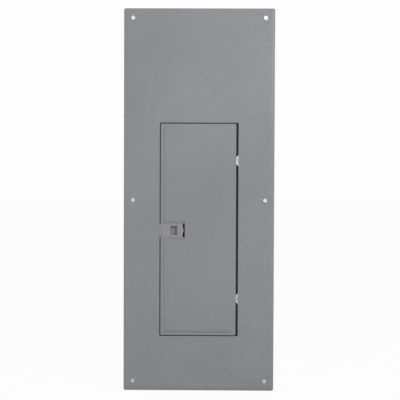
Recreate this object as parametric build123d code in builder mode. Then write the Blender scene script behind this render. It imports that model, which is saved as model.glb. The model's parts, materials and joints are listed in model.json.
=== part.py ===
"""Residential load center: wall box, cover with a hinged door, dead front, bus and breakers.

Units are millimetres. The front faces -Y, the wall is the plane y = 0 and +Z is up. The origin is
the centre of the box's back face. "Depth" below means the distance in front of the wall.
"""
from build123d import *
from math import cos, radians, sin
import os

os.makedirs("parts", exist_ok=True)

# ---- Driving dimensions -------------------------------------------------------------------------
# Enclosure box
box_width, box_height, box_depth = 361.95, 958.85, 95.25
box_sheet = 1.5
box_flange = 18.0            # front flange that the cover screws into
box_corner = 2.5
knockout_slit, knockout_tie = 0.6, 3.0
end_knockouts = [(-132, 14.2), (-84, 17.5), (0, 31.5), (84, 17.5), (132, 14.2)]   # x, radius
side_knockout_radius = 11.1

# Cover
cover_width, cover_height = 387.35, 984.25
cover_sheet = 1.6
cover_corner = 5.0
bevel_run, bevel_drop = 9.0, 1.4
rim_depth = 3.6              # height of the rim that is turned back toward the wall
cover_back = box_depth
cover_front = cover_back + cover_sheet

# Door opening in the cover
opening_width, opening_height = 202.0, 550.0
opening_z = -75.8
opening_corner = 3.0
lip_depth = 4.0              # the opening's edge, turned back toward the wall

# Door
door_left, door_right = -98.8, 95.5
door_gap = 2.2               # gap above and below the door
door_corner = 2.5
door_edge_depth = 8.0        # height of the door's turned-back edges
panel_inset = 6.3            # flat border round the raised panel
panel_run, panel_rise = 6.5, 3.0

# Hinges: a short barrel in the gap at the door's right edge, near each end of the door
hinge_x, hinge_depth = 97.6, 94.8
hinge_inset = 95.0           # hinge centre from the door's end
barrel_radius, pin_radius = 1.8, 0.8
leaf_sheet, leaf_height = 0.9, 30.0

# Latch
latch_z = -77.8
latch_travel = 4.2
pocket_right, pocket_half = -35.5, 23.0
pocket_wall = 1.5
window_right, window_half = -37.0, 17.6
latch_right, latch_nose = -41.3, -104.0

# Dead front
tray_width, tray_height = 236.0, 580.0
tray_sheet, tray_flange = 1.2, 10.0
face_back = 70.5
face_front = face_back + tray_sheet

# Interior
pan_back, pan_sheet, pan_half = 10.0, 1.2, 136.0
pan_bottom, pan_top = -395.0, 210.0
pan_front = pan_back + pan_sheet
pitch = 19.05
rows = 20
rows_top = 35.0
breaker_thickness = 18.6
blade_thickness, blade_half, blade_front = 2.5, 12.0, 46.0
bus_back, bus_sheet = 24.0, 3.0
bus_front = bus_back + bus_sheet
bus_x, bus_half = 15.0, 7.0
bus_top, bus_bottom = 72.0, -358.0
insulator_half = 35.0

# Branch breakers
handle_u, handle_depth = 28.0, 62.0      # pivot: distance from the centre line, and depth
drum_radius = 8.8
handle_tilt = 25.0
handle_reach = 24.0
handle_width = 9.0
boss_near, boss_far, boss_front = 8.0, 48.0, 73.3
terminal_u = 68.0

# Main breaker
main_half, main_bottom, main_height = 50.8, 44.0, 150.0
main_z = main_bottom + 75.0
main_pivot = 56.0
main_drum, main_tilt, main_reach, main_handle_half = 15.0, 20.0, 32.0, 21.5
lug_x, lug_z, lug_depth, lug_hole = 27.0, 181.0, 34.0, 8.0

# Terminal bars
bar_x, bar_back, bar_size = 118.0, 21.0, 12.0
neutral_bottom, neutral_pitch, neutral_count = -390.0, 12.0, 24
ground_x, ground_z, ground_count = -158.0, -240.0, 9
strap_z, strap_height, strap_sheet = -378.0, 14.0, 2.5

clear = 0.05                 # clearance round a screw or pin in its hole

# ---- Places worked out from them ----------------------------------------------------------------
opening_top = opening_z + opening_height / 2
opening_bottom = opening_z - opening_height / 2
door_top, door_bottom = opening_top - door_gap, opening_bottom + door_gap
door_x, door_z = (door_left + door_right) / 2, (door_top + door_bottom) / 2
door_width, door_height = door_right - door_left, door_top - door_bottom
panel_front = cover_front + panel_rise
hinge_zs = [door_top - hinge_inset, door_bottom + hinge_inset]

cover_screw_places = [(x, z) for z in (467.5, 0.0, -467.5) for x in (-170.0, 170.0)]
cover_screw_turns = [6, -4, 0, 3, -10, 14]
wall_hole_places = [(x, z) for z in (430.0, -430.0) for x in (-150.0, 150.0)]
pan_screw_places = [(x, z) for z in (190.0, -370.0) for x in (-143.0, 143.0)]
bus_screw_places = [(-bus_x, 60.0), (bus_x, 60.0), (-bus_x, -352.0), (bus_x, -352.0)]
bond_place = (90.0, strap_z)

# Branch breakers as (name, side, first row, poles); side is -1 for the left column
breakers = [
    ("l1", -1, 1, 2), ("l2", -1, 3, 2), ("l3", -1, 5, 1), ("l4", -1, 6, 1), ("l5", -1, 7, 1),
    ("r1", 1, 1, 2), ("r2", 1, 3, 1), ("r3", 1, 4, 1), ("r4", 1, 5, 1), ("r5", 1, 6, 1),
    ("r6", 1, 7, 1),
]
used_rows = 7
filler_row = 8


def layer(depth):
    """The sketch plane at this depth: its x is +X, its y is +Z, and it faces the front."""
    return Plane.XZ.offset(depth)


def row_z(row):
    """Height of the middle of a breaker row, counted from 1 at the top."""
    return rows_top - (row - 0.5) * pitch


def pole_heights(first, poles):
    """Heights of the poles of a breaker."""
    return [row_z(first + pole) for pole in range(poles)]


# ---- Enclosure box ------------------------------------------------------------------------------
with BuildPart() as enclosure_box:
    with BuildSketch(layer(0)):
        RectangleRounded(box_width, box_height, box_corner)
    extrude(amount=box_depth)
    with BuildSketch(layer(box_sheet)):
        RectangleRounded(box_width - 2 * box_sheet, box_height - 2 * box_sheet, box_corner - box_sheet)
    extrude(amount=box_depth - 2 * box_sheet, mode=Mode.SUBTRACT)
    with BuildSketch(layer(box_depth - box_sheet)):
        Rectangle(box_width - 2 * box_flange, box_height - 2 * box_flange)
        with Locations(*cover_screw_places):
            Circle(2.6 + clear)
    extrude(amount=box_sheet, mode=Mode.SUBTRACT)
    # Holes in the back: wall screws, the interior's screws and the bonding screw
    with BuildSketch(layer(0)):
        with Locations(*wall_hole_places):
            Circle(3.6)
        with Locations(*pan_screw_places):
            Circle(2.5 + clear)
        with Locations(bond_place):
            Circle(2.9 + clear)
        with Locations(*[(ground_x, ground_z + s * 48) for s in (-1, 1)]):
            Circle(2.5 + clear)
    extrude(amount=box_sheet, mode=Mode.SUBTRACT)
    # Knockouts through the top and bottom walls, each a slit ring held by two ties
    with BuildSketch(Plane.XY.offset(-box_height / 2)):
        for x, radius in end_knockouts:
            with Locations((x, -50)):
                Circle(radius + knockout_slit / 2)
                Circle(radius - knockout_slit / 2, mode=Mode.SUBTRACT)
                Rectangle(knockout_tie, 3 * radius, mode=Mode.SUBTRACT)
    extrude(amount=box_height, mode=Mode.SUBTRACT)
    # Side walls: knockouts, and the holes for screws into the studs
    with BuildSketch(Plane.YZ.offset(-box_width / 2)):
        for z in (-410, -360, 360, 410):
            with Locations((-45, z)):
                Circle(side_knockout_radius + knockout_slit / 2)
                Circle(side_knockout_radius - knockout_slit / 2, mode=Mode.SUBTRACT)
                Rectangle(knockout_tie, 3 * side_knockout_radius, mode=Mode.SUBTRACT)
        with Locations(*[(y, z) for y in (-20, -80) for z in (-300, 300)]):
            Circle(2.4)
    extrude(amount=box_width, mode=Mode.SUBTRACT)
enclosure_box.part.label = "enclosure_box"
export_step(enclosure_box.part, "parts/enclosure_box.step")

# ---- Cover --------------------------------------------------------------------------------------
bevel_back = cover_front - bevel_drop
rim_back = bevel_back - rim_depth
face_width, face_height = cover_width - 2 * bevel_run, cover_height - 2 * bevel_run

with BuildPart() as cover_trim:
    with BuildSketch(layer(rim_back)):
        RectangleRounded(cover_width, cover_height, cover_corner)
    extrude(amount=rim_depth)
    with BuildSketch(layer(bevel_back)):
        RectangleRounded(cover_width, cover_height, cover_corner)
    with BuildSketch(layer(cover_front)):
        RectangleRounded(face_width, face_height, cover_corner)
    loft(ruled=True)
    fillet(cover_trim.edges().filter_by_position(Axis.Y, -bevel_back - 0.01, -bevel_back + 0.01), 1.2)
    # Hollow it from behind, leaving the sheet
    inner_width, inner_height = cover_width - 2 * cover_sheet, cover_height - 2 * cover_sheet
    with BuildSketch(layer(rim_back)):
        RectangleRounded(inner_width, inner_height, cover_corner - cover_sheet)
    extrude(amount=rim_depth - cover_sheet, mode=Mode.SUBTRACT)
    with BuildSketch(layer(bevel_back - cover_sheet)):
        RectangleRounded(inner_width, inner_height, cover_corner - cover_sheet)
    with BuildSketch(layer(cover_back)):
        RectangleRounded(face_width, face_height, cover_corner - cover_sheet)
    loft(ruled=True, mode=Mode.SUBTRACT)
    # Door opening with its turned-back lip
    with BuildSketch(layer(cover_front - lip_depth)):
        with Locations((0, opening_z)):
            RectangleRounded(
                opening_width + 2 * cover_sheet, opening_height + 2 * cover_sheet, opening_corner + cover_sheet
            )
    extrude(amount=lip_depth - cover_sheet)
    with BuildSketch(layer(cover_front - lip_depth)):
        with Locations((0, opening_z)):
            RectangleRounded(opening_width, opening_height, opening_corner)
    extrude(amount=lip_depth, mode=Mode.SUBTRACT)
    fillet(cover_trim.faces().sort_by(Axis.Y)[0].inner_wires()[0].edges(), 1.2)
    # The lip is notched where the hinges and the latch's nose pass behind the sheet
    lip_x = opening_width / 2 + cover_sheet / 2
    with BuildSketch(layer(cover_front - lip_depth)):
        with Locations(*[(lip_x, z) for z in hinge_zs]):
            Rectangle(cover_sheet + 1, leaf_height + 2)
        with Locations((-lip_x, latch_z)):
            Rectangle(cover_sheet + 1, 2 * window_half + 4)
    extrude(amount=lip_depth - cover_sheet, mode=Mode.SUBTRACT)
    with BuildSketch(layer(cover_back)):
        with Locations(*cover_screw_places):
            Circle(2.9)
    extrude(amount=cover_sheet, mode=Mode.SUBTRACT)
cover_trim.part.label = "cover_trim"
export_step(cover_trim.part, "parts/cover_trim.step")

# ---- Cover screws: truss heads with a slot and a cross -------------------------------------------
with BuildPart() as cover_screws:
    for (x, z), turn in zip(cover_screw_places, cover_screw_turns):
        with BuildSketch(layer(cover_back - 12)):
            with Locations((x, z)):
                Circle(2.6)
        extrude(amount=12 + cover_sheet)
        with BuildSketch(layer(cover_front)):
            with Locations((x, z)):
                Circle(6.2)
        extrude(amount=2.8, taper=25)
        with BuildSketch(layer(cover_front + 1.3)):
            with Locations(Location((x, z), turn)):
                Rectangle(1.5, 14)
                Rectangle(5.2, 1.5)
        extrude(amount=2, mode=Mode.SUBTRACT)
cover_screws.part.label = "cover_screws"
export_step(cover_screws.part, "parts/cover_screws.step")

# ---- Door ---------------------------------------------------------------------------------------
door_sheet = cover_sheet
door_back = cover_front - door_edge_depth


def raised_panel(base_depth):
    """The raised panel's tapered block, standing on this depth."""
    width, height = door_width - 2 * panel_inset, door_height - 2 * panel_inset
    with BuildSketch(layer(base_depth)) as base:
        with Locations((door_x, door_z)):
            RectangleRounded(width, height, 6)
    with BuildSketch(layer(base_depth + panel_rise)) as top:
        with Locations((door_x, door_z)):
            RectangleRounded(width - 2 * panel_run, height - 2 * panel_run, 4)
    loft([base.sketch, top.sketch], ruled=True)


def latch_pocket(base_depth, spread):
    """Cut the block of the latch's pocket, which is open at the door's left edge."""
    start = door_left - 20
    outlines = []
    for depth, grow in ((base_depth, -pocket_wall), (base_depth + panel_rise, 0)):
        right, half = pocket_right + grow + spread, pocket_half + grow + spread
        with BuildSketch(layer(depth)) as outline:
            with Locations(((start + right) / 2, latch_z)):
                RectangleRounded(right - start, 2 * half, 3)
        outlines.append(outline.sketch)
    loft(outlines, ruled=True, mode=Mode.SUBTRACT)


with BuildPart() as door_hollow:
    raised_panel(cover_front - door_sheet)
    latch_pocket(cover_front - door_sheet, door_sheet)
    with BuildSketch(layer(door_back)):
        with Locations((door_x, door_z)):
            RectangleRounded(door_width - 2 * door_sheet, door_height - 2 * door_sheet, door_corner - door_sheet)
    extrude(amount=door_edge_depth - door_sheet)

with BuildPart() as door:
    raised_panel(cover_front)
    latch_pocket(cover_front, 0)
    with BuildSketch(layer(door_back)):
        with Locations((door_x, door_z)):
            RectangleRounded(door_width, door_height, door_corner)
    extrude(amount=door_edge_depth)
    rim_edges = door.faces().filter_by(Axis.Y).group_by(Axis.Y)[1].edges()
    fillet(rim_edges.filter_by(lambda e: e.bounding_box().max.X < door_left + 0.1 and e.length > 9), 0.9)
    add(door_hollow.part, mode=Mode.SUBTRACT)
    # The latch's window, which also opens the left edge, and the hinge notches in the right edge
    with BuildSketch(layer(door_back)):
        with Locations(((door_left - 5 + window_right) / 2, latch_z)):
            Rectangle(window_right - door_left + 5, 2 * window_half)
        with Locations(*[(door_right, z) for z in hinge_zs]):
            Rectangle(2 * door_sheet + 2, leaf_height + 2)
    extrude(amount=door_edge_depth - door_sheet, mode=Mode.SUBTRACT)
    with BuildSketch(layer(cover_front - door_sheet)):
        with Locations(((door_left - 5 + window_right) / 2, latch_z)):
            Rectangle(window_right - door_left + 5, 2 * window_half)
    extrude(amount=door_sheet, mode=Mode.SUBTRACT)
door.part.label = "door"
export_step(door.part, "parts/door.step")

# ---- Hinges -------------------------------------------------------------------------------------
knuckle = 5.2                # half the door knuckle's height
barrel_half = 10.5
leaf_front = cover_back
leaf_mid = leaf_front - leaf_sheet / 2


with BuildPart() as hinge_leaves_cover:
    for z in hinge_zs:
        for low, high in ((-barrel_half, -knuckle - 0.3), (knuckle + 0.3, barrel_half)):
            with BuildSketch(Plane.XY.offset(z + low)):
                with Locations(((hinge_x + 101) / 2, -leaf_mid)):
                    Rectangle(101 - hinge_x, leaf_sheet)
                with Locations((hinge_x, -hinge_depth)):
                    Circle(barrel_radius)
                    Circle(pin_radius + 0.02, mode=Mode.SUBTRACT)
            extrude(amount=high - low)
        with BuildSketch(Plane.XY.offset(z - leaf_height / 2)):
            with Locations(((100 + 114) / 2, -leaf_mid)):
                Rectangle(14, leaf_sheet)
        extrude(amount=leaf_height)
hinge_leaves_cover.part.label = "hinge_leaves_cover"
export_step(hinge_leaves_cover.part, "parts/hinge_leaves_cover.step")

# The door leaf follows the back of the door's border and raised panel
ramp_start = door_right - panel_inset
ramp_end = ramp_start - panel_run
leaf_end = 68.0
with BuildPart() as hinge_leaves_door:
    for z in hinge_zs:
        with BuildSketch(Plane.XY.offset(z - knuckle)):
            with Locations(((hinge_x + ramp_start) / 2, -leaf_mid)):
                Rectangle(hinge_x - ramp_start, leaf_sheet)
            with Locations((hinge_x, -hinge_depth)):
                Circle(barrel_radius)
                Circle(pin_radius + 0.05, mode=Mode.SUBTRACT)
        extrude(amount=2 * knuckle)
        with BuildSketch(Plane.XY.offset(z - leaf_height / 2)):
            with BuildLine():
                Polyline(
                    (95, -leaf_front),
                    (ramp_start, -leaf_front),
                    (ramp_end, -leaf_front - panel_rise),
                    (leaf_end, -leaf_front - panel_rise),
                    (leaf_end, -leaf_front - panel_rise + leaf_sheet),
                    (ramp_end, -leaf_front - panel_rise + leaf_sheet),
                    (ramp_start, -leaf_front + leaf_sheet),
                    (95, -leaf_front + leaf_sheet),
                    close=True,
                )
            make_face()
        extrude(amount=leaf_height)
hinge_leaves_door.part.label = "hinge_leaves_door"
export_step(hinge_leaves_door.part, "parts/hinge_leaves_door.step")

with BuildPart() as hinge_pins:
    for z in hinge_zs:
        with BuildSketch(Plane.XY.offset(z - barrel_half - 0.4)):
            with Locations((hinge_x, -hinge_depth)):
                Circle(pin_radius)
        extrude(amount=2 * barrel_half + 0.8)
hinge_pins.part.label = "hinge_pins"
export_step(hinge_pins.part, "parts/hinge_pins.step")

# ---- Latch --------------------------------------------------------------------------------------
plate_back = 92.5
plate_front = 96.0           # the part of the plate seen in the door's window
nose_front = cover_back - 0.2
cup_left, cup_right, cup_half = -73.0, -55.0, 11.7
cup_ramp, cup_floor, cup_wall = -62.7, 84.0, 1.5
block_right = cup_right + cup_wall
guide_half = 19.8

with BuildPart() as latch_slide:
    # Plate with its nose, and the wider guide behind the door's sheet
    with BuildSketch(layer(plate_back)):
        with Locations(((latch_nose + latch_right) / 2, latch_z)):
            Rectangle(latch_right - latch_nose, 2 * window_half - 0.6)
        with Locations((-68, latch_z)):
            Rectangle(48, 2 * guide_half)
    extrude(amount=nose_front - 0.2 - plate_back)
    with BuildSketch(layer(plate_back)):
        with Locations(((latch_nose + latch_right) / 2, latch_z)):
            Rectangle(latch_right - latch_nose, 2 * window_half - 0.6)
    extrude(amount=nose_front - plate_back)
    with BuildSketch(layer(nose_front)):
        with Locations(((-96.2 + latch_right) / 2, latch_z)):
            RectangleRounded(latch_right + 96.2, 2 * window_half - 0.6, 1.0)
    extrude(amount=plate_front - nose_front)
    # Block round the finger cup
    with BuildSketch(layer(cup_floor - cup_wall)):
        with Locations(((cup_left + cup_right) / 2, latch_z)):
            RectangleRounded(cup_right - cup_left + 2 * cup_wall, 2 * (cup_half + cup_wall), 2)
    extrude(amount=plate_back - cup_floor + cup_wall)
    # Finger cup: deep on the left, with a ramp up to the right
    with BuildSketch(Plane.XY.offset(latch_z - cup_half)):
        with BuildLine():
            Polyline(
                (cup_left, -plate_front - 1),
                (cup_left, -cup_floor),
                (cup_ramp, -cup_floor),
                (cup_right, -93.5),
                (cup_right, -plate_front - 1),
                close=True,
            )
        make_face()
    extrude(amount=2 * cup_half, mode=Mode.SUBTRACT)
    # The nose's lead-in slope, for closing the door
    nose_edge = latch_slide.faces().sort_by(Axis.X)[0].edges().sort_by(Axis.Y)[-1]
    chamfer(nose_edge, 2.0)
latch_slide.part.label = "latch_slide"
export_step(latch_slide.part, "parts/latch_slide.step")

spring_depth, spring_radius, spring_wire = 87.6, 2.6, 0.35
spring_left, spring_right = block_right + 0.1, -41.5
with BuildPart() as latch_retainer:
    # Bridge across the back of the slide, with a foot above and below it
    with BuildSketch(Plane.YZ.offset(-90)):
        for side in (-1, 1):
            with Locations((-(90.9 + cover_back) / 2, latch_z + side * 20.9)):
                Rectangle(cover_back - 90.9, 1.2)
            with Locations((-cover_back + 0.5, latch_z + side * 23.5)):
                Rectangle(1.0, 6.4)
        with Locations((-91.4, latch_z)):
            Rectangle(1.0, 43)
    extrude(amount=46)
    with BuildSketch(layer(90)):
        with Locations(((-78 - 45) / 2, latch_z)):
            Rectangle(33, 2 * (cup_half + cup_wall) + 1)
    extrude(amount=2.2, mode=Mode.SUBTRACT)
    # Tab that the spring pushes against
    with BuildSketch(layer(83.5)):
        with Locations((-40.9, latch_z)):
            Rectangle(1.0, 12)
    extrude(amount=91.9 - 83.5)
    with BuildSketch(layer(90.9)):
        with Locations((-43.0, latch_z)):
            Rectangle(5.2, 12)
    extrude(amount=1.0)
latch_retainer.part.label = "latch_retainer"
export_step(latch_retainer.part, "parts/latch_retainer.step")

spring_turns = 6
with BuildPart() as latch_spring:
    spring_length = spring_right - spring_left - 2 * spring_wire
    spring_start = (spring_left + spring_wire, -spring_depth, latch_z)
    with BuildLine():
        coil = Helix(
            pitch=spring_length / spring_turns,
            height=spring_length,
            radius=spring_radius,
            center=spring_start,
            direction=(1, 0, 0),
        )
    with BuildSketch(Plane(origin=coil @ 0, z_dir=coil % 0)):
        Circle(spring_wire)
    sweep(is_frenet=True)
latch_spring.part.label = "latch_spring"
export_step(latch_spring.part, "parts/latch_spring.step")

# ---- Directory card behind the door's raised panel -------------------------------------------------
card_width, card_height, card_sheet = 116.0, 190.0, 0.35
with BuildPart() as directory_card:
    with BuildSketch(layer(panel_front - door_sheet - card_sheet)):
        with Locations((-4, 70)):
            Rectangle(card_width, card_height)
    extrude(amount=card_sheet)
directory_card.part.label = "directory_card"
export_step(directory_card.part, "parts/directory_card.step")

# ---- Dead front: a tray behind the cover, with the breaker windows ---------------------------------
window_near, window_far = boss_near - 0.5, boss_far + 0.5
window_width, window_mid = window_far - window_near, (window_near + window_far) / 2
main_boss_width, main_boss_height = 70.0, 60.0
slit = 0.5
with BuildPart() as dead_front:
    with BuildSketch(layer(face_back)):
        with Locations((0, opening_z)):
            RectangleRounded(tray_width + 2 * tray_sheet, tray_height + 2 * tray_sheet, 5)
    extrude(amount=cover_back - face_back)
    with BuildSketch(layer(cover_back - tray_sheet)):
        with Locations((0, opening_z)):
            RectangleRounded(tray_width + 2 * tray_flange, tray_height + 2 * tray_flange, 6)
    extrude(amount=tray_sheet)
    with BuildSketch(layer(face_front)):
        with Locations((0, opening_z)):
            RectangleRounded(tray_width, tray_height, 5 - tray_sheet)
    extrude(amount=cover_back - face_front, mode=Mode.SUBTRACT)
    # Windows: the main breaker, the breakers in each column, and the filler plates' row
    with BuildSketch(layer(face_back)):
        with Locations((0, main_z)):
            Rectangle(main_boss_width + 1, main_boss_height + 1)
        for side in (-1, 1):
            with Locations((side * window_mid, rows_top - used_rows * pitch / 2)):
                Rectangle(window_width, used_rows * pitch - 1.0)
            with Locations((side * window_mid, row_z(filler_row))):
                Rectangle(window_width, 17.4)
            # Twist-outs in the spare rows: a slit outline held by a tie above and below
            for row in range(filler_row + 1, rows + 1):
                with Locations((side * window_mid, row_z(row))):
                    Rectangle(window_width, 17.4)
                    Rectangle(window_width - 2 * slit, 17.4 - 2 * slit, mode=Mode.SUBTRACT)
                    Rectangle(3, 18, mode=Mode.SUBTRACT)
    extrude(amount=tray_sheet, mode=Mode.SUBTRACT)
dead_front.part.label = "dead_front"
export_step(dead_front.part, "parts/dead_front.step")

with BuildPart() as filler_plates:
    for side in (-1, 1):
        with BuildSketch(layer(face_front)):
            with Locations((side * window_mid, row_z(filler_row))):
                RectangleRounded(window_width + 3, pitch - 0.6, 1.5)
        extrude(amount=1.4)
        with BuildSketch(layer(face_back - 3)):
            with Locations((side * window_mid, row_z(filler_row))):
                Rectangle(window_width - 0.6, 16.8)
        extrude(amount=face_front - face_back + 3)
        with BuildSketch(layer(face_back - 3)):
            with Locations((side * window_mid, row_z(filler_row))):
                Rectangle(window_width - 4, 13.4)
        extrude(amount=face_front - face_back + 2.2, mode=Mode.SUBTRACT)
filler_plates.part.label = "filler_plates"
export_step(filler_plates.part, "parts/filler_plates.step")

# ---- Interior pan ---------------------------------------------------------------------------------
pan_height = pan_top - pan_bottom
pan_mid = (pan_top + pan_bottom) / 2
with BuildPart() as interior_pan:
    with BuildSketch(layer(box_sheet)):
        with Locations((0, pan_mid)):
            Rectangle(2 * pan_half, pan_height)
    extrude(amount=pan_front - box_sheet)
    with BuildSketch(layer(box_sheet)):
        with Locations((0, pan_mid)):
            Rectangle(2 * pan_half - 2 * pan_sheet, pan_height)
    extrude(amount=pan_back - box_sheet, mode=Mode.SUBTRACT)
    with BuildSketch(layer(box_sheet)):
        for x, z in pan_screw_places:
            with Locations(((x + (pan_half - pan_sheet if x > 0 else pan_sheet - pan_half)) / 2, z)):
                Rectangle(22, 26)
        Rectangle(2 * pan_half - 2 * pan_sheet, 2 * cover_height, mode=Mode.SUBTRACT)
        with Locations(*pan_screw_places):
            Circle(2.7, mode=Mode.SUBTRACT)
    extrude(amount=pan_sheet)
    with BuildSketch(layer(pan_back)):
        with Locations(bond_place):
            Circle(3.4)
    extrude(amount=pan_sheet, mode=Mode.SUBTRACT)
interior_pan.part.label = "interior_pan"
export_step(interior_pan.part, "parts/interior_pan.step")


def slotted_screw(place, tip, seat, shank, head, rise):
    """A slotted screw from depth tip to its seat, with a head of this radius and rise."""
    with BuildSketch(layer(tip)) as shape:
        with Locations(place):
            Circle(shank)
    extrude(shape.sketch, amount=seat - tip)
    with BuildSketch(layer(seat)) as shape:
        with Locations(place):
            Circle(head)
    extrude(shape.sketch, amount=rise)
    with BuildSketch(layer(seat + rise / 2)) as shape:
        with Locations(place):
            Rectangle(2 * head + 1, head / 4)
    extrude(shape.sketch, amount=rise, mode=Mode.SUBTRACT)


with BuildPart() as interior_screws:
    for place in pan_screw_places:
        slotted_screw(place, 0.2, box_sheet + pan_sheet, 2.5, 4.6, 2.6)
interior_screws.part.label = "interior_screws"
export_step(interior_screws.part, "parts/interior_screws.step")

# ---- Bus ------------------------------------------------------------------------------------------
with BuildPart() as bus_insulator:
    with BuildSketch(layer(pan_front)):
        with Locations((0, (bus_top + bus_bottom) / 2)):
            Rectangle(2 * insulator_half, bus_top - bus_bottom + 8)
    extrude(amount=bus_back - pan_front)
    # Ribs that stand between the bars and beside them
    with BuildSketch(layer(bus_back)):
        for x in (-27, 27):
            with Locations((x, (rows_top + bus_bottom) / 2)):
                Rectangle(4, rows_top - bus_bottom)
    extrude(amount=4)
    with BuildSketch(layer(bus_back)):
        with Locations(*bus_screw_places):
            Circle(2.3)
    extrude(amount=-8, mode=Mode.SUBTRACT)
bus_insulator.part.label = "bus_insulator"
export_step(bus_insulator.part, "parts/bus_insulator.step")


def bus_bar(side, first_row):
    """A bar beside the centre line, with a finger and a standing blade in every other row."""
    with BuildSketch(layer(bus_back)) as shape:
        with Locations((side * bus_x, (bus_top + bus_bottom) / 2)):
            Rectangle(2 * bus_half, bus_top - bus_bottom)
        for row in range(first_row, rows + 1, 2):
            with Locations((side * 2, row_z(row))):
                Rectangle(13, 9)
    extrude(shape.sketch, amount=bus_sheet)
    with BuildSketch(layer(bus_front)) as shape:
        for row in range(first_row, rows + 1, 2):
            with Locations((0, row_z(row))):
                Rectangle(9, blade_thickness)
    extrude(shape.sketch, amount=4)
    with BuildSketch(layer(bus_front + 4)) as shape:
        for row in range(first_row, rows + 1, 2):
            with Locations((0, row_z(row))):
                Rectangle(2 * blade_half, blade_thickness)
    extrude(shape.sketch, amount=blade_front - bus_front - 4)
    with BuildSketch(layer(bus_back)) as shape:
        with Locations(*[(x, z) for x, z in bus_screw_places if x * side > 0]):
            Circle(2.3)
    extrude(shape.sketch, amount=bus_sheet, mode=Mode.SUBTRACT)


with BuildPart() as bus_bar_a:
    bus_bar(-1, 1)
bus_bar_a.part.label = "bus_bar_a"
export_step(bus_bar_a.part, "parts/bus_bar_a.step")

with BuildPart() as bus_bar_b:
    bus_bar(1, 2)
bus_bar_b.part.label = "bus_bar_b"
export_step(bus_bar_b.part, "parts/bus_bar_b.step")

link_sheet = 4.0
with BuildPart() as main_load_links:
    with BuildSketch(layer(bus_front)):
        with Locations((-bus_x, 60), (bus_x, 60)):
            Rectangle(12, 20)
            Circle(2.3, mode=Mode.SUBTRACT)
    extrude(amount=link_sheet)
main_load_links.part.label = "main_load_links"
export_step(main_load_links.part, "parts/main_load_links.step")

with BuildPart() as bus_screws:
    for place in bus_screw_places:
        seat = bus_front + (link_sheet if place[1] > 0 else 0)
        slotted_screw(place, bus_back - 7, seat, 2.2, 4.4, 2.8)
bus_screws.part.label = "bus_screws"
export_step(bus_screws.part, "parts/bus_screws.step")


# ---- Mounting rails: the lip that each branch breaker hooks under ----------------------------------
def mounting_rail(side):
    """A folded rail outside one column of breakers, with its lip turned toward them."""
    with BuildSketch(Plane.XY.offset(rows_top - rows * pitch - 4)) as shape:
        with BuildLine():
            Polyline(
                (side * 82.6, -pan_front),
                (side * 82.6, -19.0),
                (side * 74.0, -19.0),
                (side * 74.0, -20.4),
                (side * 84.0, -20.4),
                (side * 84.0, -pan_front - 1.4),
                (side * 96.0, -pan_front - 1.4),
                (side * 96.0, -pan_front),
                close=True,
            )
        make_face()
    extrude(shape.sketch, amount=rows * pitch + 8)


with BuildPart() as mounting_rail_left:
    mounting_rail(-1)
mounting_rail_left.part.label = "mounting_rail_left"
export_step(mounting_rail_left.part, "parts/mounting_rail_left.step")

with BuildPart() as mounting_rail_right:
    mounting_rail(1)
mounting_rail_right.part.label = "mounting_rail_right"
export_step(mounting_rail_right.part, "parts/mounting_rail_right.step")

# ---- Neutral and ground bars ------------------------------------------------------------------------
bar_front = bar_back + bar_size
neutral_zs = [neutral_bottom + 30 + i * neutral_pitch for i in range(neutral_count)]
neutral_top = neutral_zs[-1] + 10


for name, side in (("neutral_bar_left", -1), ("neutral_bar_right", 1)):
    with BuildPart() as bar:
        with BuildSketch(layer(bar_back)):
            with Locations((side * bar_x, (strap_z + strap_height / 2 + neutral_top) / 2)):
                Rectangle(bar_size, neutral_top - strap_z - strap_height / 2)
        extrude(amount=bar_size)
        with BuildSketch(Plane.YZ.offset(side * bar_x - bar_size)):
            with Locations(*[(-bar_back - 4.6, z) for z in neutral_zs]):
                Circle(2.5)
        extrude(amount=2 * bar_size, mode=Mode.SUBTRACT)
        with BuildSketch(layer(bar_back + 5)):
            with Locations(*[(side * bar_x, z) for z in neutral_zs]):
                Circle(2.1)
        extrude(amount=bar_size, mode=Mode.SUBTRACT)
        # Tongue that the cross strap lies on
        with BuildSketch(layer(bar_back)):
            with Locations((side * bar_x, strap_z)):
                Rectangle(bar_size, strap_height)
                Circle(2.3, mode=Mode.SUBTRACT)
        extrude(amount=4)
    bar.part.label = name
    export_step(bar.part, f"parts/{name}.step")

strap_back = bar_back + 4
strap_front = strap_back + strap_sheet
with BuildPart() as neutral_strap:
    with BuildSketch(layer(strap_back)):
        with Locations((0, strap_z)):
            Rectangle(2 * bar_x + bar_size, strap_height)
        with Locations((-bar_x, strap_z), (bar_x, strap_z)):
            Circle(2.3, mode=Mode.SUBTRACT)
        with Locations(bond_place):
            Circle(2.9 + clear, mode=Mode.SUBTRACT)
    extrude(amount=strap_sheet)
neutral_strap.part.label = "neutral_strap"
export_step(neutral_strap.part, "parts/neutral_strap.step")

with BuildPart() as neutral_insulators:
    with BuildSketch(layer(pan_front)):
        with Locations(*[(s * bar_x, z) for s in (-1, 1) for z in (strap_z + 30, neutral_top - 20)]):
            RectangleRounded(26, 34, 3)
    extrude(amount=bar_back - pan_front)
neutral_insulators.part.label = "neutral_insulators"
export_step(neutral_insulators.part, "parts/neutral_insulators.step")

with BuildPart() as neutral_screws:
    for side in (-1, 1):
        for z in neutral_zs:
            slotted_screw((side * bar_x, z), bar_back + 7.3, bar_front, 2.05, 3.4, 3.0)
        slotted_screw((side * bar_x, strap_z), bar_back + 0.4, strap_front, 2.2, 4.2, 2.6)
neutral_screws.part.label = "neutral_screws"
export_step(neutral_screws.part, "parts/neutral_screws.step")

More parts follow.
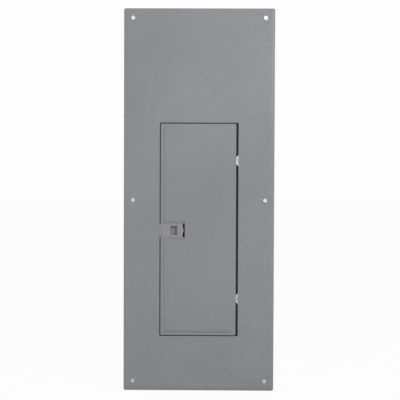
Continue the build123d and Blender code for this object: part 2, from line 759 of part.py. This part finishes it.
# Service neutral lug at the top of the right bar
neutral_lug_z = neutral_top + 16
with BuildPart() as neutral_lug:
    with BuildSketch(layer(bar_back)):
        with Locations((bar_x, neutral_lug_z)):
            Rectangle(26, 32)
    extrude(amount=30)
    fillet(neutral_lug.edges().filter_by(Axis.Y), 2)
    with BuildSketch(Plane.XY.offset(neutral_lug_z - 16)):
        with Locations((bar_x, -bar_back - 13)):
            Circle(lug_hole)
    extrude(amount=32, mode=Mode.SUBTRACT)
    with BuildSketch(layer(bar_back + 13)):
        with Locations((bar_x, neutral_lug_z)):
            Circle(5.6)
    extrude(amount=20, mode=Mode.SUBTRACT)
neutral_lug.part.label = "neutral_lug"
export_step(neutral_lug.part, "parts/neutral_lug.step")

with BuildPart() as ground_bar:
    bar_length = 120.0
    with BuildSketch(layer(box_sheet)):
        with Locations((ground_x, ground_z)):
            Rectangle(bar_size, bar_length)
    extrude(amount=16)
    with BuildSketch(layer(box_sheet)):
        with Locations((ground_x, ground_z)):
            Rectangle(bar_size, bar_length - 36)
    extrude(amount=5, mode=Mode.SUBTRACT)
    ground_zs = [ground_z + (i - (ground_count - 1) / 2) * 9 for i in range(ground_count)]
    with BuildSketch(Plane.YZ.offset(ground_x - bar_size)):
        with Locations(*[(-box_sheet - 9, z) for z in ground_zs]):
            Circle(2.2)
    extrude(amount=2 * bar_size, mode=Mode.SUBTRACT)
    with BuildSketch(layer(box_sheet + 9)):
        with Locations(*[(ground_x, z) for z in ground_zs]):
            Circle(2.1)
    extrude(amount=10, mode=Mode.SUBTRACT)
    with BuildSketch(layer(box_sheet)):
        with Locations(*[(ground_x, ground_z + s * 48) for s in (-1, 1)]):
            Circle(2.5 + clear)
    extrude(amount=20, mode=Mode.SUBTRACT)
ground_bar.part.label = "ground_bar"
export_step(ground_bar.part, "parts/ground_bar.step")

with BuildPart() as ground_screws:
    for z in ground_zs:
        slotted_screw((ground_x, z), box_sheet + 11.3, box_sheet + 16, 2.05, 3.2, 2.8)
    for side in (-1, 1):
        slotted_screw((ground_x, ground_z + side * 48), 0.2, box_sheet + 16, 2.5, 4.4, 2.8)
ground_screws.part.label = "ground_screws"
export_step(ground_screws.part, "parts/ground_screws.step")

with BuildPart() as bonding_screw:
    slotted_screw(bond_place, 0.2, strap_front, 2.9, 5.2, 3.2)
bonding_screw.part.label = "bonding_screw"
export_step(bonding_screw.part, "parts/bonding_screw.step")

# ---- Main breaker -----------------------------------------------------------------------------------
main_top = main_bottom + main_height
with BuildPart() as main_breaker_case:
    # Side profile: low at the lug end and the bus end, high in the middle
    with BuildSketch(Plane.YZ.offset(-main_half)):
        with BuildLine():
            Polyline(
                (-pan_front, main_bottom),
                (-58, main_bottom),
                (-60, main_bottom + 26),
                (-face_back + 0.2, main_bottom + 34),
                (-face_back + 0.2, main_top - 36),
                (-60, main_top - 28),
                (-58, main_top),
                (-pan_front, main_top),
                close=True,
            )
        make_face()
    extrude(amount=2 * main_half)
    fillet(main_breaker_case.edges().filter_by(Axis.Y), 3)
    with BuildSketch(layer(face_back - 0.2)):
        with Locations((0, main_z)):
            RectangleRounded(main_boss_width, main_boss_height, 2)
    extrude(amount=boss_front - face_back + 0.2)
    # Room for the handle's drum and its swing
    with BuildSketch(Plane.YZ.offset(-main_handle_half - 0.6)):
        with Locations((-main_pivot, main_z)):
            Circle(main_drum + 0.5)
        with Locations((-main_pivot - 10, main_z)):
            Rectangle(20, 2 * main_drum + 1)
    extrude(amount=2 * main_handle_half + 1.2, mode=Mode.SUBTRACT)
    # Wells for the line lugs, open at the top end and the front
    with BuildSketch(Plane.XY.offset(main_top)):
        with Locations((-lug_x, -46), (lug_x, -46)):
            Rectangle(27, 52)
    extrude(amount=-26, mode=Mode.SUBTRACT)
    # Recess over the bus bars, and the access holes to the bus screws
    with BuildSketch(Plane.XY.offset(main_bottom)):
        with Locations((0, -(pan_front + bus_front + link_sheet) / 2)):
            Rectangle(2 * insulator_half + 1, bus_front + link_sheet - pan_front)
    extrude(amount=34, mode=Mode.SUBTRACT)
    with BuildSketch(layer(bus_front + link_sheet)):
        with Locations((-bus_x, 60), (bus_x, 60)):
            Circle(5.2)
    extrude(amount=40, mode=Mode.SUBTRACT)
main_breaker_case.part.label = "main_breaker_case"
export_step(main_breaker_case.part, "parts/main_breaker_case.step")


def tilted(angle, along, across):
    """A point of a handle's profile, as (in depth, across), turned by its tilt about the pivot."""
    a = radians(angle)
    return along * cos(a) - across * sin(a), along * sin(a) + across * cos(a)


with BuildPart() as main_breaker_handle:
    # The handle leans upward when on
    lever = [(0, -6.5), (main_reach, -4.2), (main_reach, 4.2), (0, 6.5)]
    points = [tilted(main_tilt, along, across) for along, across in lever]
    with BuildSketch(Plane.YZ.offset(-main_handle_half)):
        with Locations((-main_pivot, main_z)):
            Circle(main_drum)
        with BuildLine():
            Polyline(*[(-main_pivot - d, main_z + z) for d, z in points], close=True)
        make_face()
    extrude(amount=2 * main_handle_half)
    fillet(main_breaker_handle.edges().sort_by(Axis.Y)[0:2], 1.5)
main_breaker_handle.part.label = "main_breaker_handle"
export_step(main_breaker_handle.part, "parts/main_breaker_handle.step")

with BuildPart() as main_line_lugs:
    for x in (-lug_x, lug_x):
        with BuildSketch(layer(20)):
            with Locations((x, main_top - 13)):
                Rectangle(25, 24)
        extrude(amount=30)
        with BuildSketch(Plane.XY.offset(main_top - 26)):
            with Locations((x, -lug_depth)):
                Circle(lug_hole)
        extrude(amount=28, mode=Mode.SUBTRACT)
        with BuildSketch(layer(lug_depth)):
            with Locations((x, main_top - 13)):
                Circle(5.6)
        extrude(amount=20, mode=Mode.SUBTRACT)
main_line_lugs.part.label = "main_line_lugs"
export_step(main_line_lugs.part, "parts/main_line_lugs.step")


def lug_screw(place, tip):
    """A set screw with a hexagon socket, 16 long."""
    with BuildSketch(layer(tip)) as shape:
        with Locations(place):
            Circle(5.5)
    extrude(shape.sketch, amount=16)
    with BuildSketch(layer(tip + 8)) as shape:
        with Locations(place):
            RegularPolygon(3.4, 6)
    extrude(shape.sketch, amount=9, mode=Mode.SUBTRACT)


with BuildPart() as lug_screws:
    for x in (-lug_x, lug_x):
        lug_screw((x, main_top - 13), 41)
    lug_screw((bar_x, neutral_lug_z), bar_back + 20)
lug_screws.part.label = "lug_screws"
export_step(lug_screws.part, "parts/lug_screws.step")

# ---- Branch breakers ----------------------------------------------------------------------------------
case_outline = [
    (1.5, 29.0), (1.5, 66.0), (5.5, 70.3), (50.0, 70.3), (56.0, 62.5), (80.0, 57.0), (80.0, 21.2),
    (72.0, 21.2), (72.0, 18.4), (79.0, 18.4), (79.0, 14.5), (38.0, 14.5), (38.0, 29.0),
]


def breaker_case(side, first, poles):
    """A moulded case with a boss, a well for each handle, jaw and terminal, and a rail hook."""
    heights = pole_heights(first, poles)
    low = heights[-1] - breaker_thickness / 2
    tall = heights[0] - heights[-1] + breaker_thickness
    with BuildSketch(Plane.XY.offset(low)) as shape:
        with BuildLine():
            Polyline(*[(side * u, -depth) for u, depth in case_outline], close=True)
        make_face()
    extrude(shape.sketch, amount=tall)
    with BuildSketch(layer(70.3)) as shape:
        with Locations((side * (boss_near + boss_far) / 2, low + tall / 2)):
            RectangleRounded(boss_far - boss_near, tall - 1.6, 1)
    extrude(shape.sketch, amount=boss_front - 70.3)
    for z in heights:
        # Handle well: a round bottom and straight sides up to the boss
        with BuildSketch(Plane.XY.offset(z - handle_width / 2 - 0.3)) as shape:
            with Locations((side * handle_u, -handle_depth)):
                Circle(drum_radius + 0.4)
            with Locations((side * handle_u, -handle_depth - 6)):
                Rectangle(2 * drum_radius + 0.8, 12)
        extrude(shape.sketch, amount=handle_width + 0.6, mode=Mode.SUBTRACT)
        # Jaw cavity, open toward the wall and the centre line
        with BuildSketch(Plane.XY.offset(z - 4.5)) as shape:
            with Locations((side * 7.5, -39)):
                Rectangle(13, 26)
        extrude(shape.sketch, amount=9, mode=Mode.SUBTRACT)
        # Terminal: a screw well from the front and a wire hole from the outer end
        with BuildSketch(layer(36)) as shape:
            with Locations((side * terminal_u, z)):
                Circle(4.7)
        extrude(shape.sketch, amount=30, mode=Mode.SUBTRACT)
        with BuildSketch(Plane.YZ.offset(side * 80)) as shape:
            with Locations((-33, z)):
                Circle(3.5)
        extrude(shape.sketch, amount=-side * 18, mode=Mode.SUBTRACT)


def breaker_handle(side, first, poles):
    """A handle that leans toward the centre line when on; poles share one, tied outside the case."""
    heights = pole_heights(first, poles)
    lever = [(0, -4.0), (handle_reach, -2.8), (handle_reach, 2.8), (0, 4.0)]
    points = [tilted(handle_tilt, along, across) for along, across in lever]
    for z in heights:
        with BuildSketch(Plane.XY.offset(z - handle_width / 2)) as shape:
            with Locations((side * handle_u, -handle_depth)):
                Circle(drum_radius)
            with BuildLine():
                Polyline(*[(side * (handle_u - u), -handle_depth - d) for d, u in points], close=True)
            make_face()
        extrude(shape.sketch, amount=handle_width)
    if poles > 1:
        tie = [tilted(handle_tilt, along, across) for along, across in ((15, -2.6), (22, -2.6), (22, 2.6), (15, 2.6))]
        with BuildSketch(Plane.XY.offset(heights[-1])) as shape:
            with BuildLine():
                Polyline(*[(side * (handle_u - u), -handle_depth - d) for d, u in tie], close=True)
            make_face()
        extrude(shape.sketch, amount=heights[0] - heights[-1])


for name, side, first, poles in breakers:
    with BuildPart() as case:
        breaker_case(side, first, poles)
    case.part.label = f"breaker_{name}_case"
    export_step(case.part, f"parts/breaker_{name}_case.step")
    with BuildPart() as handle:
        breaker_handle(side, first, poles)
    handle.part.label = f"breaker_{name}_handle"
    export_step(handle.part, f"parts/breaker_{name}_handle.step")

pole_places = [(side, z) for _, side, first, poles in breakers for z in pole_heights(first, poles)]
with BuildPart() as breaker_terminal_screws:
    for side, z in pole_places:
        slotted_screw((side * terminal_u, z), 36.6, 46, 2.2, 4.3, 3.0)
breaker_terminal_screws.part.label = "breaker_terminal_screws"
export_step(breaker_terminal_screws.part, "parts/breaker_terminal_screws.step")

jaw_sheet, jaw_gap = 1.2, 0.15
with BuildPart() as breaker_line_jaws:
    jaw_outer = 2 * (blade_thickness / 2 + jaw_gap + jaw_sheet)
    for side, z in pole_places:
        with BuildSketch(Plane.YZ.offset(side * 7.5 - 4.5)):
            with Locations((-42, z)):
                Rectangle(20, jaw_outer)
            with Locations((-41, z)):
                Rectangle(19, blade_thickness + 2 * jaw_gap, mode=Mode.SUBTRACT)
        extrude(amount=9)
breaker_line_jaws.part.label = "breaker_line_jaws"
export_step(breaker_line_jaws.part, "parts/breaker_line_jaws.step")
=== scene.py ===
# %% [markdown]
# # A residential load center
# This lesson dresses a finished CAD model of a wall-mounted breaker panel. The shapes are already
# right, so the work is in the finishes, the light and the camera. We start by loading the frame and
# noting its box.

# %% Load the frame
import json
from math import cos, radians, sin

import bpy
from mathutils import Matrix, Vector


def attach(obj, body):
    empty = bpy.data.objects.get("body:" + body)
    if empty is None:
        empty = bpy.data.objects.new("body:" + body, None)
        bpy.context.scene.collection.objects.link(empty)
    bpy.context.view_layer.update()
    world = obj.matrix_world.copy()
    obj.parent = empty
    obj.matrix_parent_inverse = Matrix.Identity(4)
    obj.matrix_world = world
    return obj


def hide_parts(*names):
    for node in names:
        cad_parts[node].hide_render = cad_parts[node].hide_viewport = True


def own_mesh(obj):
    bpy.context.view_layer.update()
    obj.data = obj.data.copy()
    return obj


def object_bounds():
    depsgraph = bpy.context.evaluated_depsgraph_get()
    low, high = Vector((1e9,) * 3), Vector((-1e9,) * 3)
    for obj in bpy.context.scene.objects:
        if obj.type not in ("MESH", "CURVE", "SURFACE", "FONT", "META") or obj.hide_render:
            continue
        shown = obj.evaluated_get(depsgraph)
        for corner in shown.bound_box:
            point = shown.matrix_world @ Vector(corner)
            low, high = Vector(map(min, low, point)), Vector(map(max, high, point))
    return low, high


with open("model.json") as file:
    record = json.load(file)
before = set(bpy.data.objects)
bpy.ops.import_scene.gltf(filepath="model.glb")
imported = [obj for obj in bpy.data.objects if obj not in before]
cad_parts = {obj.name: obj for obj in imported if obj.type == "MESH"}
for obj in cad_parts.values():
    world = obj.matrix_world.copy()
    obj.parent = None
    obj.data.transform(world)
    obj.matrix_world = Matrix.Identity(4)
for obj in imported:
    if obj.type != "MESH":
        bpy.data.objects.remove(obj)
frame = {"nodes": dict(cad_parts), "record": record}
cad_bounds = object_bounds()
slot_of = {part["node"]: part["material_slot"] for part in frame["record"]["subparts"]}
print("nodes:", len(frame["nodes"]), "finishes:", len(set(slot_of.values())))

# %% [markdown]
# ## Camera
# A tall flat panel is drawn from far away with a long lens, which keeps its sides parallel. The
# camera stands almost straight in front, a little above the middle, and leans by a fraction of a
# degree. We build its axes by hand, because a look-at constraint would lose that small lean.

# %% Camera
camera_distance = 3.0
camera_azimuth, camera_height_angle, camera_lean = radians(0.63), radians(1.728), radians(0.215)
camera_target = Vector((0.0027, -0.0968, 0.0008))
camera_lens = 104.9

backward = Vector((
    sin(camera_azimuth) * cos(camera_height_angle),
    -cos(camera_azimuth) * cos(camera_height_angle),
    sin(camera_height_angle),
))
right = Vector((0, 0, 1)).cross(backward).normalized()
upward = backward.cross(right)
leaned_right = cos(camera_lean) * right + sin(camera_lean) * upward
leaned_up = cos(camera_lean) * upward - sin(camera_lean) * right

camera_data = bpy.data.cameras.new("camera")
camera_data.lens = camera_lens
camera = bpy.data.objects.new("camera", camera_data)
bpy.context.scene.collection.objects.link(camera)
axes = Matrix((leaned_right, leaned_up, backward)).transposed().to_4x4()
camera.matrix_world = Matrix.Translation(camera_target + camera_distance * backward) @ axes
bpy.context.scene.camera = camera
print("camera at", [round(v, 3) for v in camera.matrix_world.translation])

# %% [markdown]
# ## Helpers for shader node groups
# Several finishes share the same effects, such as a worn edge or a fine grain. Each effect is built
# once as a node group with named sockets and then placed in every material that needs it. A group
# only gives out masks, colours and heights; the Principled shader stays in the material.

# %% Node helpers
def new_group(name, inputs, outputs):
    """An empty shader group with its sockets, as (group, its input node, its output node)."""
    group = bpy.data.node_groups.new(name, "ShaderNodeTree")
    for label, kind, value in inputs:
        socket = group.interface.new_socket(name=label, in_out="INPUT", socket_type=kind)
        socket.default_value = value
    for label, kind in outputs:
        group.interface.new_socket(name=label, in_out="OUTPUT", socket_type=kind)
    return group, group.nodes.new("NodeGroupInput"), group.nodes.new("NodeGroupOutput")


def math_node(nodes, links, operation, first, second):
    """A Math node; each value is a number or a socket. Returns its output."""
    node = nodes.new("ShaderNodeMath")
    node.operation = operation
    for socket, value in zip(node.inputs, (first, second)):
        if isinstance(value, (int, float)):
            socket.default_value = value
        else:
            links.new(value, socket)
    return node.outputs[0]


FLOAT, COLOR = "NodeSocketFloat", "NodeSocketColor"

# %% [markdown]
# ## Uneven colour
# No sprayed or moulded surface is one flat colour. Two noises, a broad one and a fine one, blend a
# second colour into the first. Object coordinates fix the pattern to the part in real metres.

# %% Group: uneven colour
mottle, enter, leave = new_group(
    "uneven_colour",
    [("Color", COLOR, (0.5, 0.5, 0.5, 1)), ("Second Color", COLOR, (0.4, 0.4, 0.4, 1)),
     ("Scale", FLOAT, 60.0), ("Amount", FLOAT, 0.5)],
    [("Color", COLOR), ("Mask", FLOAT)],
)
place = mottle.nodes.new("ShaderNodeTexCoord")
fine, broad = (mottle.nodes.new("ShaderNodeTexNoise") for _ in range(2))
for noise in (fine, broad):
    noise.inputs["Detail"].default_value = 4
    mottle.links.new(place.outputs["Object"], noise.inputs["Vector"])
mottle.links.new(enter.outputs["Scale"], fine.inputs["Scale"])
broad.inputs["Scale"].default_value = 5.0
both = math_node(mottle.nodes, mottle.links, "ADD", fine.outputs["Fac"], broad.outputs["Fac"])
mask = math_node(mottle.nodes, mottle.links, "MULTIPLY", both, 0.5)
share = math_node(mottle.nodes, mottle.links, "MULTIPLY", mask, enter.outputs["Amount"])
blend = mottle.nodes.new("ShaderNodeMix")
blend.data_type = "RGBA"
mottle.links.new(share, blend.inputs[0])
mottle.links.new(enter.outputs["Color"], blend.inputs[6])
mottle.links.new(enter.outputs["Second Color"], blend.inputs[7])
mottle.links.new(blend.outputs[2], leave.inputs["Color"])
mottle.links.new(mask, leave.inputs["Mask"])
print("group:", mottle.name)

# %% [markdown]
# ## Worn edges
# Handling rubs a finish thin along its edges. The Bevel node rounds the normal near an edge, so where
# it disagrees with the true normal there is an edge. A noise breaks the line up, as real wear does.

# %% Group: worn edges
wear, enter, leave = new_group("worn_edges", [("Width", FLOAT, 0.0008)], [("Mask", FLOAT)])
rounded = wear.nodes.new("ShaderNodeBevel")
rounded.samples = 4
true_normal = wear.nodes.new("ShaderNodeNewGeometry")
agree = wear.nodes.new("ShaderNodeVectorMath")
agree.operation = "DOT_PRODUCT"
wear.links.new(enter.outputs["Width"], rounded.inputs["Radius"])
wear.links.new(rounded.outputs["Normal"], agree.inputs[0])
wear.links.new(true_normal.outputs["Normal"], agree.inputs[1])
place = wear.nodes.new("ShaderNodeTexCoord")
chips = wear.nodes.new("ShaderNodeTexNoise")
chips.inputs["Scale"].default_value = 140.0
wear.links.new(place.outputs["Object"], chips.inputs["Vector"])
edge = math_node(wear.nodes, wear.links, "SUBTRACT", 1.0, agree.outputs["Value"])
strong = math_node(wear.nodes, wear.links, "MULTIPLY", edge, 4.0)
broken = math_node(wear.nodes, wear.links, "MULTIPLY", strong, chips.outputs["Fac"])
wear.links.new(math_node(wear.nodes, wear.links, "MINIMUM", broken, 1.0), leave.inputs["Mask"])
print("group:", wear.name)

# %% [markdown]
# ## Fine grain
# Paint dries with a faint orange peel, plastic copies its mould, and drawn metal has long scratches.
# All three are one noise, stretched along the part's height by a different amount.

# %% Group: fine grain
grain, enter, leave = new_group(
    "fine_grain", [("Scale", FLOAT, 400.0), ("Stretch", FLOAT, 1.0)], [("Height", FLOAT)])
place = grain.nodes.new("ShaderNodeTexCoord")
split = grain.nodes.new("ShaderNodeSeparateXYZ")
join = grain.nodes.new("ShaderNodeCombineXYZ")
texture = grain.nodes.new("ShaderNodeTexNoise")
grain.links.new(place.outputs["Object"], split.inputs[0])
grain.links.new(split.outputs["X"], join.inputs["X"])
grain.links.new(split.outputs["Y"], join.inputs["Y"])
shrunk = math_node(grain.nodes, grain.links, "DIVIDE", split.outputs["Z"], enter.outputs["Stretch"])
grain.links.new(shrunk, join.inputs["Z"])
grain.links.new(join.outputs[0], texture.inputs["Vector"])
grain.links.new(enter.outputs["Scale"], texture.inputs["Scale"])
grain.links.new(texture.outputs["Fac"], leave.inputs["Height"])
print("group:", grain.name)

# %% [markdown]
# ## Zinc spangle
# Hot-dipped steel freezes into flat crystals, each a slightly different grey. Voronoi cells have the
# same look, so each cell's random colour becomes a single value.

# %% Group: zinc spangle
spangle, enter, leave = new_group("zinc_spangle", [("Scale", FLOAT, 90.0)], [("Mask", FLOAT)])
place = spangle.nodes.new("ShaderNodeTexCoord")
cells = spangle.nodes.new("ShaderNodeTexVoronoi")
part_colour = spangle.nodes.new("ShaderNodeSeparateColor")
spangle.links.new(place.outputs["Object"], cells.inputs["Vector"])
spangle.links.new(enter.outputs["Scale"], cells.inputs["Scale"])
spangle.links.new(cells.outputs["Color"], part_colour.inputs[0])
spangle.links.new(part_colour.outputs[0], leave.inputs["Mask"])
print("group:", spangle.name)


# %% [markdown]
# ## One recipe for every finish
# A finish is a colour, a second colour that mottles it, a colour for its worn edges and a grain. The
# recipe wires the groups to one Principled shader. Values that are the same all over, such as how
# metallic it is, are typed straight onto the shader's own sockets.

# %% The recipe
def finish(name, color, second, edge_color, metallic, rough, grain_scale, stretch=1.0,
           bump=0.1, mottling=0.6, mottle_scale=60.0, wear_width=0.0008, spangled=False):
    """A procedural material. rough is its (smoothest, roughest) value."""
    material = bpy.data.materials.new(name)
    material.use_nodes = True
    nodes, links = material.node_tree.nodes, material.node_tree.links
    shader = nodes["Principled BSDF"]
    shader.inputs["Metallic"].default_value = metallic

    def place_group(group, **values):
        node = nodes.new("ShaderNodeGroup")
        node.node_tree = group
        for label, value in values.items():
            node.inputs[label.replace("_", " ")].default_value = value
        return node

    uneven = place_group(mottle, Color=(*color, 1), Second_Color=(*second, 1),
                         Scale=mottle_scale, Amount=mottling)
    pattern = uneven.outputs["Mask"]
    base = uneven.outputs["Color"]
    if spangled:
        pattern = place_group(spangle, Scale=mottle_scale).outputs["Mask"]
        crystals = nodes.new("ShaderNodeMix")
        crystals.data_type = "RGBA"
        links.new(pattern, crystals.inputs[0])
        links.new(base, crystals.inputs[6])
        crystals.inputs[7].default_value = (*edge_color, 1)
        base = crystals.outputs[2]
    edges = place_group(wear, Width=wear_width)
    worn = nodes.new("ShaderNodeMix")
    worn.data_type = "RGBA"
    links.new(edges.outputs["Mask"], worn.inputs[0])
    links.new(base, worn.inputs[6])
    worn.inputs[7].default_value = (*edge_color, 1)
    links.new(worn.outputs[2], shader.inputs["Base Color"])
    spread = nodes.new("ShaderNodeMapRange")
    spread.inputs["To Min"].default_value, spread.inputs["To Max"].default_value = rough
    links.new(pattern, spread.inputs["Value"])
    links.new(spread.outputs["Result"], shader.inputs["Roughness"])
    relief = nodes.new("ShaderNodeBump")
    relief.inputs["Strength"].default_value = bump
    relief.inputs["Distance"].default_value = 0.0002
    links.new(place_group(grain, Scale=grain_scale, Stretch=stretch).outputs["Height"],
              relief.inputs["Height"])
    links.new(relief.outputs["Normal"], shader.inputs["Normal"])
    return material


finishes = {}

# %% [markdown]
# ## Grey enamel
# The box's cover, door and inner plate are sprayed and baked. The grey is slightly green, satin, with
# a faint orange peel, and paler where the coat is thin over an edge.

# %% Grey enamel
finishes["painted_steel"] = finish(
    "grey_enamel", (0.335, 0.354, 0.353), (0.130, 0.138, 0.140), (0.36, 0.375, 0.37),
    metallic=0.0, rough=(0.38, 0.5), grain_scale=900.0, bump=0.12, mottling=0.7, mottle_scale=160.0)

# %% [markdown]
# ## Metals
# The box is galvanized and shows its crystals. Screws and hinges are bright zinc plate. The bus bars
# are tinned copper, and the terminal bars are drawn aluminium with long scratches.

# %% Metals
finishes["galvanized_steel"] = finish(
    "galvanized_sheet", (0.50, 0.51, 0.52), (0.42, 0.43, 0.44), (0.62, 0.63, 0.64),
    metallic=1.0, rough=(0.3, 0.48), grain_scale=500.0, mottle_scale=90.0, spangled=True)
finishes["zinc_plate"] = finish(
    "bright_zinc", (0.82, 0.82, 0.83), (0.70, 0.71, 0.74), (0.9, 0.9, 0.9),
    metallic=1.0, rough=(0.2, 0.34), grain_scale=900.0, bump=0.08, wear_width=0.0004)
finishes["spring_steel"] = finish(
    "spring_wire", (0.50, 0.50, 0.52), (0.40, 0.40, 0.42), (0.6, 0.6, 0.6),
    metallic=1.0, rough=(0.2, 0.3), grain_scale=1500.0, wear_width=0.0002)
finishes["tin_plated_copper"] = finish(
    "tinned_copper", (0.64, 0.62, 0.58), (0.55, 0.52, 0.47), (0.70, 0.55, 0.42),
    metallic=1.0, rough=(0.3, 0.44), grain_scale=700.0, stretch=14.0)
finishes["aluminium"] = finish(
    "drawn_aluminium", (0.72, 0.73, 0.74), (0.62, 0.63, 0.65), (0.85, 0.85, 0.86),
    metallic=1.0, rough=(0.28, 0.42), grain_scale=700.0, stretch=20.0, bump=0.15)
finishes["green_screw"] = finish(
    "green_dyed_zinc", (0.03, 0.25, 0.08), (0.02, 0.17, 0.05), (0.35, 0.45, 0.36),
    metallic=0.6, rough=(0.3, 0.42), grain_scale=900.0, wear_width=0.0004)

# %% [markdown]
# ## Plastics and card
# Breaker cases are matt black moulded plastic, and their handles are a touch smoother from use. The
# latch is grey plastic, a little warmer than the enamel round it. The directory is plain card.

# %% Plastics and card
finishes["grey_plastic"] = finish(
    "latch_plastic", (0.310, 0.305, 0.318), (0.270, 0.265, 0.278), (0.30, 0.30, 0.31),
    metallic=0.0, rough=(0.42, 0.52), grain_scale=1400.0, bump=0.15)
finishes["black_plastic"] = finish(
    "breaker_plastic", (0.020, 0.020, 0.021), (0.030, 0.030, 0.030), (0.06, 0.06, 0.06),
    metallic=0.0, rough=(0.45, 0.6), grain_scale=1400.0, bump=0.2)
finishes["handle_plastic"] = finish(
    "handle_plastic", (0.016, 0.016, 0.017), (0.024, 0.024, 0.024), (0.07, 0.07, 0.07),
    metallic=0.0, rough=(0.3, 0.42), grain_scale=1400.0)
finishes["white_plastic"] = finish(
    "insulator_plastic", (0.70, 0.69, 0.65), (0.62, 0.61, 0.56), (0.76, 0.75, 0.72),
    metallic=0.0, rough=(0.4, 0.5), grain_scale=1200.0)
finishes["card"] = finish(
    "directory_card", (0.80, 0.80, 0.77), (0.74, 0.73, 0.69), (0.70, 0.69, 0.64),
    metallic=0.0, rough=(0.75, 0.9), grain_scale=2500.0, bump=0.25)

# %% Put the finishes on the parts
for node_name, cad_object in frame["nodes"].items():
    material = finishes[slot_of[node_name]]
    if not cad_object.material_slots:
        cad_object.data.materials.append(material)
    for material_slot in cad_object.material_slots:
        material_slot.material = material
print("dressed", len(frame["nodes"]), "nodes in", len(finishes), "finishes")

# %% [markdown]
# ## The latch's spring
# When a finger slides the latch, its small coil spring is pressed against a fixed tab. The CAD spring
# is rigid and the slide would cut into it, so a copy takes its place, attached to the door. The
# copy's loose triangles are merged first, so that its surface is closed.

cad_spring = frame["nodes"]["latch_spring"]
spring = bpy.data.objects.new("latch_spring_coil", cad_spring.data.copy())
bpy.context.scene.collection.objects.link(spring)
bpy.ops.object.select_all(action="DESELECT")
spring.select_set(True)
bpy.context.view_layer.objects.active = spring
bpy.ops.object.mode_set(mode="EDIT")
bpy.ops.mesh.select_all(action="SELECT")
bpy.ops.mesh.remove_doubles(threshold=0.000001)
bpy.ops.object.mode_set(mode="OBJECT")

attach(spring, "door")
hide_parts("latch_spring")
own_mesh(spring)

# %% [markdown]
# ## Floor and background
# The panel stands on a plain pale floor. Rays that come straight from the camera see it as almost
# white, while a small share of the real shading stays, so the object still drops a soft shadow.

# %% Floor
floor_size = 30.0
floor_shade_kept = 0.05
lowest = cad_bounds[0][2]

bpy.ops.object.select_all(action="DESELECT")
bpy.ops.mesh.primitive_plane_add(size=floor_size, location=(0, 0, lowest))
floor = bpy.context.object
floor.name = "floor"

pale = bpy.data.materials.new("pale_floor")
pale.use_nodes = True
nodes, links = pale.node_tree.nodes, pale.node_tree.links
nodes["Principled BSDF"].inputs["Base Color"].default_value = (0.8, 0.8, 0.8, 1)
nodes["Principled BSDF"].inputs["Roughness"].default_value = 0.9
white = nodes.new("ShaderNodeEmission")
white.inputs["Color"].default_value = (1, 1, 1, 1)
path = nodes.new("ShaderNodeLightPath")
seen = math_node(nodes, links, "MULTIPLY", path.outputs["Is Camera Ray"], 1 - floor_shade_kept)
mixed = nodes.new("ShaderNodeMixShader")
links.new(seen, mixed.inputs[0])
links.new(nodes["Principled BSDF"].outputs[0], mixed.inputs[1])
links.new(white.outputs[0], mixed.inputs[2])
links.new(mixed.outputs[0], nodes["Material Output"].inputs["Surface"])
floor.data.materials.append(pale)
print("floor at height", round(lowest, 4))

# %% [markdown]
# ## Light
# Plain studio light: an even sky for most of it, a large soft lamp above and to the right that picks
# out the upper and right edges, and a weaker one on the left. The camera, reflections and glass see
# the background as white, and only the lighting itself is dimmer.

# %% World
sky_level = 0.44
world = bpy.data.worlds.new("studio")
world.use_nodes = True
nodes, links = world.node_tree.nodes, world.node_tree.links
path = nodes.new("ShaderNodeLightPath")
straight = math_node(nodes, links, "MAXIMUM", path.outputs["Is Camera Ray"],
                     path.outputs["Is Glossy Ray"])
straight = math_node(nodes, links, "MAXIMUM", straight, path.outputs["Is Transmission Ray"])
extra = math_node(nodes, links, "MULTIPLY", straight, 1 - sky_level)
links.new(math_node(nodes, links, "ADD", extra, sky_level), nodes["Background"].inputs["Strength"])
nodes["Background"].inputs["Color"].default_value = (0.985, 0.985, 0.985, 1)
bpy.context.scene.world = world


# %% Lamps
def soft_lamp(name, place, power, size):
    """A square area lamp that faces the middle of the panel."""
    data = bpy.data.lights.new(name, "AREA")
    data.energy, data.size = power, size
    lamp = bpy.data.objects.new(name, data)
    bpy.context.scene.collection.objects.link(lamp)
    toward = (camera_target - Vector(place)).to_track_quat("-Z", "Y").to_matrix().to_4x4()
    lamp.matrix_world = Matrix.Translation(place) @ toward


soft_lamp("key_upper_right", (1.1, -2.4, 1.0), 30, 1.4)
soft_lamp("fill_left", (-1.8, -2.0, -0.6), 13, 1.6)
bpy.context.scene.view_settings.view_transform = "Standard"
